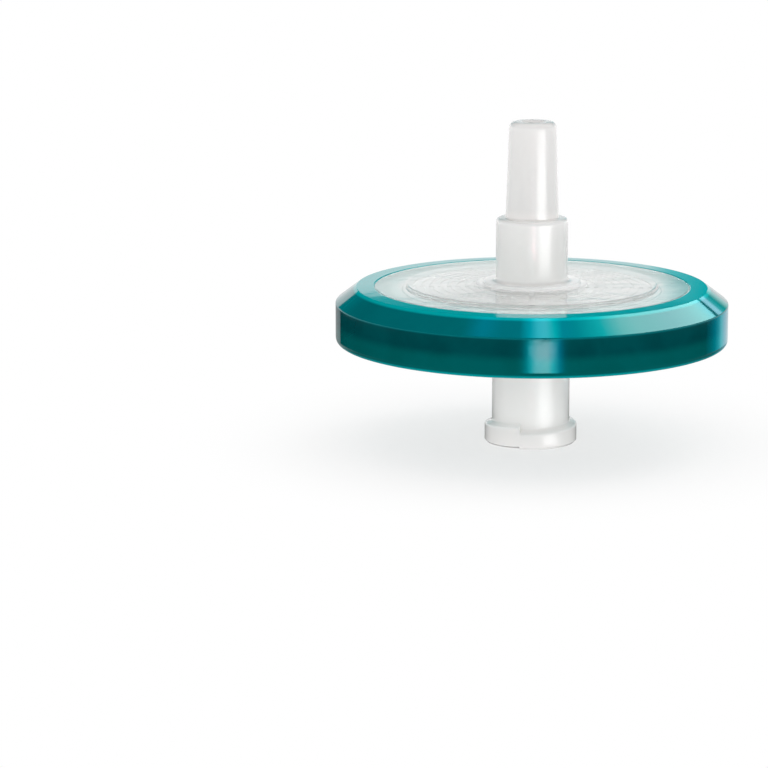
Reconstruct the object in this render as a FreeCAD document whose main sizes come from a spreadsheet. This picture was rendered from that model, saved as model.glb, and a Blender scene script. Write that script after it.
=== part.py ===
import FreeCAD, Part
import os

import Sketcher

# Disposable syringe filter: two clear shells that clamp a membrane disc, held
# together by a ring moulded round their flanges.  Millimetres, +Z up.
# Origin: centre of the inlet's end face, which the filter stands on.  The
# pieces share the axis Z, and liquid flows upwards, from inlet to outlet.

# ---------------------------------------------------------------- sizes

RIB_COUNT = 10
CHANNEL_COUNT = 12
LUG_COUNT = 2
SAME_PLACE = 1e-4                   # edges nearer than this lie in one place

SIZES = {
    # Luer fittings, both 6 % tapers on the diameter
    "luer_taper": 0.06,
    "socket_mouth_radius": 2.15,
    "socket_depth": 7.5,
    "socket_lead_in": 0.12,         # chamfer round the socket's mouth
    "tip_end_radius": 1.98,
    "tip_length": 8.1,
    "tip_round": 0.35,
    "outlet_bore_radius": 1.0,
    # inlet neck, its two lock lugs and the boss at its root
    "inlet_neck_wall": 1.13,        # round the socket's mouth
    "inlet_end_chamfer": 0.2,
    "inlet_port_radius": 0.9,       # from the socket into the chamber
    "inlet_port_length": 1.625,
    "inlet_clocking": 256.5,        # angle that the inlet shell is turned to
    "lug_height": 0.62,             # a lug stands this far out of the neck
    "lug_crest": 1.57,              # a lug's width at its outer radius
    "lug_flank": 0.27,              # what each sloped flank adds at the neck
    "lug_rise": 0.6,                # climb of a lug in its half turn
    "lug_start_drop": 0.33,         # a lug starts this far below the end face
    "boss_ledge": 1.32,             # neck to the boss's upper edge
    "boss_flare": 0.7,              # what the boss widens by towards the window
    "boss_height": 1.25,
    "boss_round": 0.4,
    # inlet shell
    "inlet_plate": 1.3,             # thickness of the window
    "inlet_window_inset": 0.55,     # chamber wall to the edge of the window
    "inlet_window_step": 0.2,       # the window stands this far out of the face
    "inlet_lip_depth": 0.7,         # inlet face to the flange under the ring
    "inlet_lip_width": 1.5,         # what the ring grips of the flange
    "inlet_chamber_depth": 0.8,     # chamber floor to membrane
    "inlet_rib_height": 0.5,
    # chambers, membrane and flanges, each measured outwards from the one before
    "chamber_radius": 10.9,
    "seat_width": 1.1,
    "membrane_side_gap": 0.1,
    "membrane_thickness": 0.15,
    "weld_width": 2.0,              # where the two shells meet
    # outlet shell
    "outlet_rib_height": 0.5,       # the ribs carry the membrane
    "outlet_plate": 2.0,
    "outlet_window_inset": 0.3,
    "outlet_window_step": 0.23,
    "outlet_lip_depth": 0.85,
    "outlet_lip_width": 0.76,
    "pad_margin": 1.08,             # low pad round the collar
    "pad_height": 0.25,
    "collar_step": 0.797,           # shoulder between tip and collar
    "collar_length": 5.31,          # pad to shoulder
    "collar_round": 0.35,
    "window_round": 0.1,            # edges of the raised middles and the pad
    # ribs in both chambers, and the radial channels that cross them
    "rib_first_radius": 3.2,
    "rib_edge_gap": 0.75,           # last rib to the chamber's wall
    "rib_width": 0.4,
    "channel_width": 0.45,
    # overmoulded ring
    "ring_wall": 2.53,              # outside the flanges
    "ring_chamfer_width": 1.76,     # sloped band on the outlet side
    "ring_chamfer_height": 1.37,
    "ring_lip_proud": 0.15,         # the ring stands above the inlet face
    "ring_lip_bevel": 0.5,          # where it thins out over that face
    "ring_bead_height": 0.22,       # bead round the inlet side
    "ring_bead_width": 0.7,
    "ring_bead_slope": 0.12,
    "ring_bead_round": 0.55,
}

# Radii and heights that follow from the sizes.
LEVELS = {
    # radii of the inlet neck, its socket, lugs and boss
    "socket_lead_in_radius": "Sizes.socket_mouth_radius + Sizes.socket_lead_in",
    "socket_end_radius": "Sizes.socket_mouth_radius - Sizes.socket_depth * Sizes.luer_taper / 2",
    "inlet_neck_radius": "Sizes.socket_mouth_radius + Sizes.inlet_neck_wall",
    "lug_radius": "inlet_neck_radius + Sizes.lug_height",
    "lug_core_radius": "(inlet_neck_radius + socket_lead_in_radius) / 2",
    "lug_foot_radius": "lug_radius - Sizes.inlet_end_chamfer",
    "lug_clear_radius": "lug_radius + Sizes.inlet_end_chamfer",
    "boss_top_radius": "inlet_neck_radius + Sizes.boss_ledge",
    "boss_root_radius": "boss_top_radius + Sizes.boss_flare",
    # radii of the shells, outwards from the chambers
    "inlet_window_radius": "Sizes.chamber_radius - Sizes.inlet_window_inset",
    "outlet_window_radius": "Sizes.chamber_radius - Sizes.outlet_window_inset",
    "seat_radius": "Sizes.chamber_radius + Sizes.seat_width",
    "membrane_radius": "seat_radius - Sizes.membrane_side_gap",
    "flange_radius": "seat_radius + Sizes.weld_width",
    "inlet_rim_radius": "flange_radius - Sizes.inlet_lip_width",
    "outlet_rim_radius": "flange_radius - Sizes.outlet_lip_width",
    # radii of the outlet tip, collar and pad
    "tip_base_radius": "Sizes.tip_end_radius + Sizes.tip_length * Sizes.luer_taper / 2",
    "collar_radius": "tip_base_radius + Sizes.collar_step",
    "pad_radius": "collar_radius + Sizes.pad_margin",
    # lug outline, and the waste below the end face
    "lug_crest_bottom": "-Sizes.lug_start_drop",
    "lug_crest_top": "lug_crest_bottom + Sizes.lug_crest",
    "lug_root_bottom": "lug_crest_bottom - Sizes.lug_flank",
    "lug_root_top": "lug_crest_top + Sizes.lug_flank",
    "lug_clear_height": "2 * Sizes.inlet_end_chamfer",
    "lug_cut_bottom": "2 * lug_root_bottom",
    # heights of the inlet shell, from the end face upwards
    "port_start": "Sizes.socket_depth + socket_end_radius - Sizes.inlet_port_radius",
    "inlet_floor": "port_start + Sizes.inlet_port_length",
    "inlet_window_face": "inlet_floor - Sizes.inlet_plate",
    "inlet_face": "inlet_window_face + Sizes.inlet_window_step",
    "inlet_shoulder": "inlet_face + Sizes.inlet_lip_depth",
    "boss_top": "inlet_window_face - Sizes.boss_height",
    # membrane
    "membrane_bottom": "inlet_floor + Sizes.inlet_chamber_depth",
    "membrane_top": "membrane_bottom + Sizes.membrane_thickness",
    # outlet shell
    "outlet_floor": "membrane_top + Sizes.outlet_rib_height",
    "outlet_window_face": "outlet_floor + Sizes.outlet_plate",
    "outlet_face": "outlet_window_face - Sizes.outlet_window_step",
    "outlet_shoulder": "outlet_face - Sizes.outlet_lip_depth",
    "pad_top": "outlet_window_face + Sizes.pad_height",
    "collar_top": "pad_top + Sizes.collar_length",
    "tip_end": "collar_top + Sizes.tip_length",
    # ribs, and channels that run just past the outermost rib at both ends
    "rib_last_radius": "Sizes.chamber_radius - Sizes.rib_edge_gap - Sizes.rib_width / 2",
    "rib_pitch": f"(rib_last_radius - Sizes.rib_first_radius) / {RIB_COUNT - 1}",
    "channel_span": "2 * Sizes.chamber_radius - Sizes.rib_edge_gap",
    # ring: its top is flush with the outlet face
    "ring_radius": "flange_radius + Sizes.ring_wall",
    "ring_wall_top": "outlet_face - Sizes.ring_chamfer_height",
    "ring_top_radius": "ring_radius - Sizes.ring_chamfer_width",
    "ring_annulus": "inlet_face - Sizes.ring_lip_proud",
    "ring_bottom": "ring_annulus - Sizes.ring_bead_height",
    "ring_bead_radius": "ring_radius - Sizes.ring_bead_width",
    "ring_bead_foot_radius": "ring_bead_radius - Sizes.ring_bead_slope",
    "ring_feather_radius": "inlet_rim_radius - Sizes.ring_lip_bevel",
}


def make_sheet(document, name, cells):
    """A spreadsheet with one named cell in each row."""
    sheet = document.addObject("Spreadsheet::Sheet", name)
    for row, (alias, content) in enumerate(cells.items(), start=1):
        sheet.set(f"A{row}", alias.replace("_", " "))
        sheet.set(f"B{row}", str(content))
        sheet.setAlias(f"B{row}", alias)
    document.recompute()
    return sheet


doc = FreeCAD.newDocument("syringe_filter")
sizes_sheet = make_sheet(doc, "Sizes", SIZES)
formulas = {name: f"={formula}" for name, formula in LEVELS.items()}
levels_sheet = make_sheet(doc, "Levels", formulas)


def cell(name):
    """The full name of a size or level, for use in an expression."""
    if name in SIZES:
        return f"Sizes.{name}"
    return f"Levels.{name}"


def number(name):
    """The present value of a size or level."""
    sheet = sizes_sheet if name in SIZES else levels_sheet
    return float(sheet.get(name))


# ---------------------------------------------------------------- sketches

def new_body(label):
    """An empty body, named as its STEP file is."""
    body = doc.addObject("PartDesign::Body", label)
    body.Label = label
    return body


def new_sketch(body, name, plane_role, height=None):
    """A sketch on one of the body's own planes, raised to a level if one is given."""
    sketch = body.newObject("Sketcher::SketchObject", name)
    plane = next(item for item in body.Origin.OriginFeatures if item.Role == plane_role)
    sketch.AttachmentSupport = [(plane, "")]
    sketch.MapMode = "FlatFace"
    if height is not None:
        sketch.setExpression("AttachmentOffset.Base.z", cell(height))
    return sketch


def bind_corner(sketch, line, across, up):
    """Ties the start of a line to its two coordinates; None means on the axis."""
    for kind, coordinate, axis in (("DistanceX", across, -2), ("DistanceY", up, -1)):
        if coordinate is None:
            sketch.addConstraint(Sketcher.Constraint("PointOnObject", line, 1, axis))
            continue
        here = Sketcher.Constraint(kind, -1, 1, line, 1, number(coordinate))
        index = sketch.addConstraint(here)
        sketch.setExpression(f"Constraints[{index}]", cell(coordinate))


def draw_outline(sketch, corners):
    """A closed outline of straight lines through named corners."""
    points = []
    for across, up in corners:
        x = number(across) if across else 0.0
        y = number(up) if up else 0.0
        points.append(FreeCAD.Vector(x, y, 0))
    for start, end in zip(points, points[1:] + points[:1]):
        sketch.addGeometry(Part.LineSegment(start, end), False)
    count = len(points)
    for line in range(count):
        after = (line + 1) % count
        sketch.addConstraint(Sketcher.Constraint("Coincident", line, 2, after, 1))
    for line, (across, up) in enumerate(corners):
        bind_corner(sketch, line, across, up)


def revolve(body, name, corners):
    """A solid of revolution about Z, from an outline of (radius, height) corners."""
    sketch = new_sketch(body, f"{name}_outline", "XZ_Plane")
    draw_outline(sketch, corners)
    turned = body.newObject("PartDesign::Revolution", name)
    turned.Profile = sketch
    turned.ReferenceAxis = (sketch, ["V_Axis"])
    turned.Angle = 360
    doc.recompute()
    return turned


def circles_at(feature, radius, height):
    """The names of a feature's circular edges of one radius at one height."""
    found = []
    for index, edge in enumerate(feature.Shape.Edges, start=1):
        curve = edge.Curve
        if not isinstance(curve, Part.Circle):
            continue
        same_radius = abs(curve.Radius - number(radius)) < SAME_PLACE
        same_height = abs(curve.Center.z - number(height)) < SAME_PLACE
        if same_radius and same_height:
            found.append(f"Edge{index}")
    return found


def round_edges(body, name, base, places, rounding):
    """Fillets the circular edges at the named (radius, height) places."""
    edges = [edge for radius, height in places for edge in circles_at(base, radius, height)]
    fillet = body.newObject("PartDesign::Fillet", name)
    fillet.Base = (base, edges)
    fillet.setExpression("Radius", cell(rounding))
    doc.recompute()
    return fillet


# ---------------------------------------------------------------- ribs

def add_ribs(body, shell, floor, rib_height, downwards):
    """Concentric ribs on a chamber's floor, cut through by radial channels."""
    rings = new_sketch(body, f"{shell}_rib_circles", "XY_Plane", floor)
    for rib in range(RIB_COUNT):
        for side in (-1, 1):
            formula = f"Sizes.rib_first_radius + {rib} * Levels.rib_pitch"
            formula += f" + ({side} / 2) * Sizes.rib_width"
            radius = number("rib_first_radius") + rib * number("rib_pitch")
            radius += side / 2 * number("rib_width")
            circle = Part.Circle(FreeCAD.Vector(), FreeCAD.Vector(0, 0, 1), radius)
            index = rings.addGeometry(circle, False)
            rings.addConstraint(Sketcher.Constraint("Coincident", index, 3, -1, 1))
            fixed = rings.addConstraint(Sketcher.Constraint("Radius", index, radius))
            rings.setExpression(f"Constraints[{fixed}]", formula)
    ribs = body.newObject("PartDesign::Pad", f"{shell}_ribs")
    ribs.Profile = rings
    ribs.Reversed = downwards
    ribs.setExpression("Length", cell(rib_height))
    doc.recompute()

    slot = new_sketch(body, f"{shell}_channel_outline", "XY_Plane", floor)
    draw_slot(slot)
    channel = body.newObject("PartDesign::Pocket", f"{shell}_channel")
    channel.Profile = slot
    channel.Reversed = not downwards
    channel.setExpression("Length", cell(rib_height))
    doc.recompute()

    # each slot makes two channels, so the slots fill a half turn and stop one step short
    slots = CHANNEL_COUNT // 2
    channels = body.newObject("PartDesign::PolarPattern", f"{shell}_channels")
    channels.Originals = [channel]
    channels.Axis = (slot, ["N_Axis"])
    channels.Angle = 180 - 180 / slots
    channels.Occurrences = slots
    body.Tip = channels
    doc.recompute()
    return channels


def draw_slot(sketch):
    """A straight slot along X, right across the ribs and through their middle."""
    length = number("channel_span")
    width = number("channel_width")
    corners = [
        FreeCAD.Vector(-length / 2, -width / 2, 0),
        FreeCAD.Vector(length / 2, -width / 2, 0),
        FreeCAD.Vector(length / 2, width / 2, 0),
        FreeCAD.Vector(-length / 2, width / 2, 0),
    ]
    for start, end in zip(corners, corners[1:] + corners[:1]):
        sketch.addGeometry(Part.LineSegment(start, end), False)
    for line in range(4):
        sketch.addConstraint(Sketcher.Constraint("Coincident", line, 2, (line + 1) % 4, 1))
    sketch.addConstraint(Sketcher.Constraint("Horizontal", 0))
    sketch.addConstraint(Sketcher.Constraint("Vertical", 1))
    sketch.addConstraint(Sketcher.Constraint("Horizontal", 2))
    sketch.addConstraint(Sketcher.Constraint("Symmetric", 0, 1, 2, 1, -1, 1))
    along = sketch.addConstraint(Sketcher.Constraint("DistanceX", 0, 1, 0, 2, length))
    across = sketch.addConstraint(Sketcher.Constraint("DistanceY", 1, 1, 1, 2, width))
    sketch.setExpression(f"Constraints[{along}]", cell("channel_span"))
    sketch.setExpression(f"Constraints[{across}]", cell("channel_width"))


# ---------------------------------------------------------------- inlet shell

def add_lugs(body):
    """Two half-turn lugs, each climbing round the inlet neck, cut off at its end face."""
    outline = new_sketch(body, "lug_outline", "XZ_Plane")
    draw_outline(outline, [
        ("lug_core_radius", "lug_root_bottom"),
        ("inlet_neck_radius", "lug_root_bottom"),
        ("lug_radius", "lug_crest_bottom"),
        ("lug_radius", "lug_crest_top"),
        ("inlet_neck_radius", "lug_root_top"),
        ("lug_core_radius", "lug_root_top"),
    ])
    lug = body.newObject("PartDesign::AdditiveHelix", "lug")
    lug.Profile = outline
    lug.ReferenceAxis = (outline, ["V_Axis"])
    lug.Mode = "height-turns-growth"
    lug.Turns = 1 / LUG_COUNT
    lug.setExpression("Height", cell("lug_rise"))
    doc.recompute()

    lugs = body.newObject("PartDesign::PolarPattern", "lugs")
    lugs.Originals = [lug]
    lugs.Axis = (outline, ["V_Axis"])
    lugs.Angle = 360
    lugs.Occurrences = LUG_COUNT
    body.Tip = lugs
    doc.recompute()

    waste = new_sketch(body, "end_outline", "XZ_Plane")
    draw_outline(waste, [
        ("socket_lead_in_radius", None),
        ("lug_foot_radius", None),
        ("lug_clear_radius", "lug_clear_height"),
        ("lug_clear_radius", "lug_cut_bottom"),
        ("socket_lead_in_radius", "lug_cut_bottom"),
    ])
    end_face = body.newObject("PartDesign::Groove", "end_face")
    end_face.Profile = waste
    end_face.ReferenceAxis = (waste, ["V_Axis"])
    end_face.Angle = 360
    doc.recompute()
    return end_face


def make_inlet_housing():
    """The lower shell: Luer socket, lugs, boss, window, chamber, seat and flange."""
    body = new_body("inlet_housing")
    turned = revolve(body, "inlet_shell", [
        ("socket_lead_in_radius", None),
        ("inlet_neck_radius", None),
        ("inlet_neck_radius", "boss_top"),
        ("boss_top_radius", "boss_top"),
        ("boss_root_radius", "inlet_window_face"),
        ("inlet_window_radius", "inlet_window_face"),
        ("inlet_window_radius", "inlet_face"),
        ("inlet_rim_radius", "inlet_face"),
        ("inlet_rim_radius", "inlet_shoulder"),
        ("flange_radius", "inlet_shoulder"),
        ("flange_radius", "membrane_top"),
        ("seat_radius", "membrane_top"),
        ("seat_radius", "membrane_bottom"),
        ("chamber_radius", "membrane_bottom"),
        ("chamber_radius", "inlet_floor"),
        ("inlet_port_radius", "inlet_floor"),
        ("inlet_port_radius", "port_start"),
        ("socket_end_radius", "socket_depth"),
        ("socket_mouth_radius", "socket_lead_in"),
    ])
    rounded = round_edges(body, "boss_rounding", turned, [
        ("inlet_neck_radius", "boss_top"),
        ("boss_top_radius", "boss_top"),
        ("boss_root_radius", "inlet_window_face"),
    ], "boss_round")
    round_edges(body, "inlet_window_rounding", rounded, [
        ("inlet_window_radius", "inlet_window_face"),
    ], "window_round")
    add_lugs(body)
    add_ribs(body, "inlet", "inlet_floor", "inlet_rib_height", False)
    body.Placement.Rotation = FreeCAD.Rotation(FreeCAD.Vector(0, 0, 1), number("inlet_clocking"))
    body.setExpression("Placement.Rotation.Angle", cell("inlet_clocking"))
    return body


# ---------------------------------------------------------------- outlet shell

def make_outlet_housing():
    """The upper shell: chamber, support ribs, window, pad, collar and male Luer."""
    body = new_body("outlet_housing")
    turned = revolve(body, "outlet_shell", [
        ("outlet_bore_radius", "outlet_floor"),
        ("chamber_radius", "outlet_floor"),
        ("chamber_radius", "membrane_top"),
        ("flange_radius", "membrane_top"),
        ("flange_radius", "outlet_shoulder"),
        ("outlet_rim_radius", "outlet_shoulder"),
        ("outlet_rim_radius", "outlet_face"),
        ("outlet_window_radius", "outlet_face"),
        ("outlet_window_radius", "outlet_window_face"),
        ("pad_radius", "outlet_window_face"),
        ("pad_radius", "pad_top"),
        ("collar_radius", "pad_top"),
        ("collar_radius", "collar_top"),
        ("tip_base_radius", "collar_top"),
        ("tip_end_radius", "tip_end"),
        ("outlet_bore_radius", "tip_end"),
    ])
    collar_rounded = round_edges(body, "collar_rounding", turned, [
        ("collar_radius", "pad_top"),
        ("collar_radius", "collar_top"),
    ], "collar_round")
    tip_rounded = round_edges(body, "tip_rounding", collar_rounded, [
        ("tip_end_radius", "tip_end"),
    ], "tip_round")
    round_edges(body, "outlet_window_rounding", tip_rounded, [
        ("outlet_window_radius", "outlet_window_face"),
        ("pad_radius", "pad_top"),
    ], "window_round")
    add_ribs(body, "outlet", "outlet_floor", "outlet_rib_height", True)
    return body


# ---------------------------------------------------------------- membrane and ring

def make_membrane():
    """The filter disc, in its seat between the shells."""
    disc = doc.addObject("Part::Cylinder", "membrane")
    disc.Label = "membrane"
    disc.setExpression("Radius", cell("membrane_radius"))
    disc.setExpression("Height", cell("membrane_thickness"))
    disc.setExpression("Placement.Base.z", cell("membrane_bottom"))
    return disc


def make_overmould_ring():
    """The ring that grips both flanges, flush on top and with a bead underneath."""
    body = new_body("overmould_ring")
    turned = revolve(body, "ring_section", [
        ("ring_feather_radius", "inlet_face"),
        ("inlet_rim_radius", "inlet_face"),
        ("inlet_rim_radius", "inlet_shoulder"),
        ("flange_radius", "inlet_shoulder"),
        ("flange_radius", "outlet_shoulder"),
        ("outlet_rim_radius", "outlet_shoulder"),
        ("outlet_rim_radius", "outlet_face"),
        ("ring_top_radius", "outlet_face"),
        ("ring_radius", "ring_wall_top"),
        ("ring_radius", "ring_bottom"),
        ("ring_bead_radius", "ring_bottom"),
        ("ring_bead_foot_radius", "ring_annulus"),
        ("inlet_rim_radius", "ring_annulus"),
    ])
    round_edges(body, "bead_rounding", turned, [
        ("ring_radius", "ring_bottom"),
    ], "ring_bead_round")
    return body


# ---------------------------------------------------------------- build and export

pieces = [
    make_inlet_housing(),
    make_outlet_housing(),
    make_membrane(),
    make_overmould_ring(),
]
doc.recompute()

for item in doc.Objects:
    if "Invalid" in item.State or "Error" in item.State:
        raise RuntimeError(f"{item.Name} failed: {item.State}")
for piece in pieces:
    if piece.Shape.isNull() or not piece.Shape.isValid():
        raise RuntimeError(f"{piece.Label} has no valid shape")
    if len(piece.Shape.Solids) != 1:
        raise RuntimeError(f"{piece.Label} is not one solid")

os.makedirs("parts", exist_ok=True)
for piece in pieces:
    piece.Shape.exportStep(f"parts/{piece.Label}.step")
    print(f"{piece.Label}: {piece.Shape.Volume:.2f} mm3, {len(piece.Shape.Faces)} faces")
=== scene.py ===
import math

import bmesh
import bpy
from mathutils import Matrix, Vector

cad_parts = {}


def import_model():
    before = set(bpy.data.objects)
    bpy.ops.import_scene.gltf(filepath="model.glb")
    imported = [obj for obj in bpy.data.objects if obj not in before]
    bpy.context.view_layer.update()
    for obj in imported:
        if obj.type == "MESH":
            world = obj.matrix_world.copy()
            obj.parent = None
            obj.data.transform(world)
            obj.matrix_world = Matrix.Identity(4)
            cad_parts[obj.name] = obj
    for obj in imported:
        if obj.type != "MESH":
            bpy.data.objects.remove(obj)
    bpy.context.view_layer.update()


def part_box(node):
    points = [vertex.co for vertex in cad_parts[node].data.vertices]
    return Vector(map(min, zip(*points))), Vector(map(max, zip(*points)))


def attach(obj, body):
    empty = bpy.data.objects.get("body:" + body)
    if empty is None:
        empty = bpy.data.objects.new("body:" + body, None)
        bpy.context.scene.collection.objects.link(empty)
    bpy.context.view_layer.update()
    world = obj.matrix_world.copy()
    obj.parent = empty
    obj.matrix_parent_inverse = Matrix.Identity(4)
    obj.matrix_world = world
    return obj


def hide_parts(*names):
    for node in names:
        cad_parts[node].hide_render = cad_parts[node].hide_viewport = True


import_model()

# A syringe filter standing on its inlet: two clear shells, the membrane between
# them and the teal ring moulded round their flanges. Metres, +Z up. Every piece
# is turned about Z from an outline of (radius, height) corners.

# ---------------------------------------------------------------- sizes

MM = 0.001

_, inlet_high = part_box("inlet_housing")
_, outlet_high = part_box("outlet_housing")
ring_low, ring_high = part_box("overmould_ring")
membrane_low, membrane_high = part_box("membrane")

# radii and heights that the frame gives
FLANGE = inlet_high.x
RING = ring_high.x
RING_BOTTOM = ring_low.z
OUTLET_FACE = ring_high.z
MEMBRANE = membrane_high.x
MEMBRANE_BOTTOM = membrane_low.z
SEAM = membrane_high.z
TIP_END = outlet_high.z

# shells, outwards from the axis
OUTLET_BORE = 1.0 * MM
INLET_BORE = 0.9 * MM
TIP_RADIUS = 1.98 * MM
TIP_BASE = 2.223 * MM
TIP_LENGTH = 8.1 * MM
COLLAR = 3.02 * MM
COLLAR_LENGTH = 5.31 * MM
PAD = 4.1 * MM
PAD_HEIGHT = 0.25 * MM
CHAMBER = MEMBRANE - 1.0 * MM
SEAT = MEMBRANE + 0.1 * MM
OUTLET_WINDOW = CHAMBER - 0.3 * MM
OUTLET_RIM = FLANGE - 0.76 * MM
OUTLET_SHOULDER = OUTLET_FACE - 0.85 * MM
RIB_HEIGHT = 0.5 * MM
OUTLET_FLOOR = SEAM + RIB_HEIGHT
COLLAR_TOP = TIP_END - TIP_LENGTH
PAD_TOP = COLLAR_TOP - COLLAR_LENGTH
WINDOW_TOP = PAD_TOP - PAD_HEIGHT

# inlet shell
SOCKET_DEPTH = 7.5 * MM
SOCKET_MOUTH = 2.15 * MM
SOCKET_LEAD_IN = 0.12 * MM
SOCKET_END = 1.925 * MM
PORT_START = SOCKET_DEPTH + SOCKET_END - INLET_BORE
NECK = 3.28 * MM
BOSS = 4.6 * MM
BOSS_ROOT = 5.3 * MM
BOSS_HEIGHT = 1.25 * MM
INLET_WINDOW = CHAMBER - 0.55 * MM
INLET_RIM = FLANGE - 1.5 * MM
INLET_FLOOR = MEMBRANE_BOTTOM - 0.8 * MM
INLET_WINDOW_FACE = INLET_FLOOR - 1.3 * MM
INLET_FACE = INLET_WINDOW_FACE + 0.2 * MM
INLET_SHOULDER = INLET_FACE + 0.7 * MM
BOSS_FACE = INLET_WINDOW_FACE - BOSS_HEIGHT

# lock lugs: two half turns that climb round the inlet neck
LUG = NECK + 0.62 * MM
LUG_CREST_BOTTOM = -0.33 * MM
LUG_CREST_WIDTH = 1.57 * MM
LUG_FLANK = 0.27 * MM
LUG_RISE = 0.6 * MM
LUG_FOOT_CHAMFER = 0.2 * MM

# ribs in both chambers, and the radial channels across them
RIB_COUNT = 10
RIB_FIRST = 3.2 * MM
RIB_PITCH = 0.75 * MM
RIB_WIDTH = 0.4 * MM
CHANNEL_COUNT = 12
CHANNEL_WIDTH = 0.45 * MM
CHANNEL_DRAFT = 0.02 * MM
INLET_TURN = math.radians(256.5)

# overmoulded ring
RING_CHAMFER_WIDTH = 1.76 * MM
RING_CHAMFER_HEIGHT = 1.37 * MM
RING_LIP_FALL = 0.036 * MM
RING_ANNULUS = INLET_FACE - 0.15 * MM
RING_BEAD_WIDTH = 0.7 * MM
RING_BEAD_SLOPE = 0.12 * MM
RING_FEATHER = 0.5 * MM
RING_WALL_TOP = OUTLET_FACE - RING_CHAMFER_HEIGHT

# roundings, and the gap between pieces that touch
SHARP = 0.0
CRISP = 0.05 * MM
SOFT = 0.1 * MM
WINDOW_ROUND = 1.6 * SOFT
LUG_ROUND = 2 * SOFT
COLLAR_ROUND = 3.5 * SOFT
BOSS_ROUND = 4 * SOFT
BEAD_ROUND = 5.5 * SOFT
TIP_ROUND = 0.6 * MM
FITTING_GAP = 0.01 * MM


# ---------------------------------------------------------------- outlines

LEAST_CUT = 0.2             # a rounding starts at least this share of its radius away
MOST_CUT = 0.62             # and takes at most this share of the shorter side
SUPPORT = 0.2               # supporting points stand this share of the cut beside an arc


def rounded_corner(before, here, after, rounding, steps):
    """The points of one corner: a soft arc with a supporting point on each side."""
    if rounding == SHARP:
        return [here]
    towards_before = before - here
    towards_after = after - here
    shortest = min(towards_before.length, towards_after.length)
    turn = math.pi - towards_before.angle(towards_after, math.pi)
    cut = min(rounding * max(math.tan(turn / 2), LEAST_CUT), MOST_CUT * shortest)
    start = here + towards_before.normalized() * cut
    end = here + towards_after.normalized() * cut
    points = [start + (start - here) * SUPPORT]
    for step in range(steps + 1):
        t = step / steps
        points.append(start.lerp(here, t).lerp(here.lerp(end, t), t))
    points.append(end + (end - here) * SUPPORT)
    return points


def rounded(corners, closed=True):
    """An outline of (radius, height, rounding, steps) corners as a row of points."""
    places = [Vector((radius, height)) for radius, height, _, _ in corners]
    count = len(corners)
    points = []
    for index, (_, _, rounding, steps) in enumerate(corners):
        if not closed and index in (0, count - 1):
            points.append(places[index])
            continue
        before = places[index - 1]
        after = places[(index + 1) % count]
        points += rounded_corner(before, places[index], after, rounding, steps)
    return points


def corner(radius, height, rounding=CRISP, steps=3):
    return (radius, height, rounding, steps)


# ---------------------------------------------------------------- columns

# A shell's columns of points follow its channels: in each sector a few lanes cross
# the channel, and the others share out the ribs on both sides of it.
LANES_BESIDE = 7
CHANNEL_HALF = 2
MIDDLE_LANE = LANES_BESIDE + CHANNEL_HALF + 1
LANES = 2 * MIDDLE_LANE
SECTOR = 2 * math.pi / CHANNEL_COUNT
NARROW = math.radians(0.7)
EVEN_COLUMNS = 360


def lane_offset(lane, radius):
    """A lane's azimuth from the middle of its channel, at one radius."""
    reach = min(max(radius, RIB_FIRST - RIB_WIDTH / 2), CHAMBER)
    edge = math.asin(CHANNEL_WIDTH / 2 / reach)
    draft = CHANNEL_DRAFT / reach
    aside = lane - MIDDLE_LANE
    if abs(aside) <= CHANNEL_HALF:
        return [draft - edge, -NARROW, 0.0, NARROW, edge - draft][aside + CHANNEL_HALF]
    beside = (SECTOR / 2 - edge - draft) * (abs(aside) - CHANNEL_HALF - 1) / LANES_BESIDE
    return math.copysign(edge + draft + beside, aside)


def azimuth_of(column, radius):
    sector, lane = divmod(column, LANES)
    return sector * SECTOR + lane_offset(lane, radius)


def in_channel(column):
    return abs(column % LANES - MIDDLE_LANE) <= CHANNEL_HALF


def even_azimuth(column, radius):
    """Azimuth on a piece without channels, the same at every radius."""
    return column * 2 * math.pi / EVEN_COLUMNS


# ---------------------------------------------------------------- meshes

SAME_PLACE = MM * 1e-4
CREASE = math.radians(35)


def turned(name, outline_at, columns, azimuth_at, turn=0.0, closed=True):
    """A piece of revolution whose outline may change from column to column."""
    mesh = bpy.data.meshes.new(name)
    shape = bmesh.new()
    rows = []
    for column in range(columns):
        row = []
        for radius, height in rounded(outline_at(column), closed):
            azimuth = azimuth_at(column, radius) + turn
            place = (radius * math.cos(azimuth), radius * math.sin(azimuth), height)
            row.append(shape.verts.new(place))
        rows.append(row)
    count = len(rows[0])
    last = count if closed else count - 1
    for column in range(columns):
        here = rows[column]
        there = rows[(column + 1) % columns]
        for index in range(last):
            after = (index + 1) % count
            shape.faces.new((here[index], there[index], there[after], here[after]))
    bmesh.ops.remove_doubles(shape, verts=shape.verts, dist=SAME_PLACE)
    bmesh.ops.recalc_face_normals(shape, faces=shape.faces)
    shape.to_mesh(mesh)
    shape.free()
    mesh.shade_smooth()
    mesh.set_sharp_from_angle(angle=CREASE)
    piece = bpy.data.objects.new(name, mesh)
    bpy.context.scene.collection.objects.link(piece)
    return piece


def dress(piece, node, material):
    """Puts a piece in the place of its CAD node."""
    piece.data.materials.append(material)
    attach(piece, "root")
    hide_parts(node)


# ---------------------------------------------------------------- ribs

def rib_corners(rib, floor, top):
    """One rib, from its inner side outwards."""
    inner = RIB_FIRST + rib * RIB_PITCH - RIB_WIDTH / 2
    outer = inner + RIB_WIDTH
    return [
        corner(inner, floor, SHARP),
        corner(inner + CHANNEL_DRAFT, top, CRISP, 1),
        corner(outer - CHANNEL_DRAFT, top, CRISP, 1),
        corner(outer, floor, SHARP),
    ]


def ribs(column, floor, top):
    """Every rib of one column; inside a channel they stay at the floor."""
    height = floor if in_channel(column) else top
    corners = []
    for rib in range(RIB_COUNT):
        corners += rib_corners(rib, floor, height)
    return corners


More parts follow.
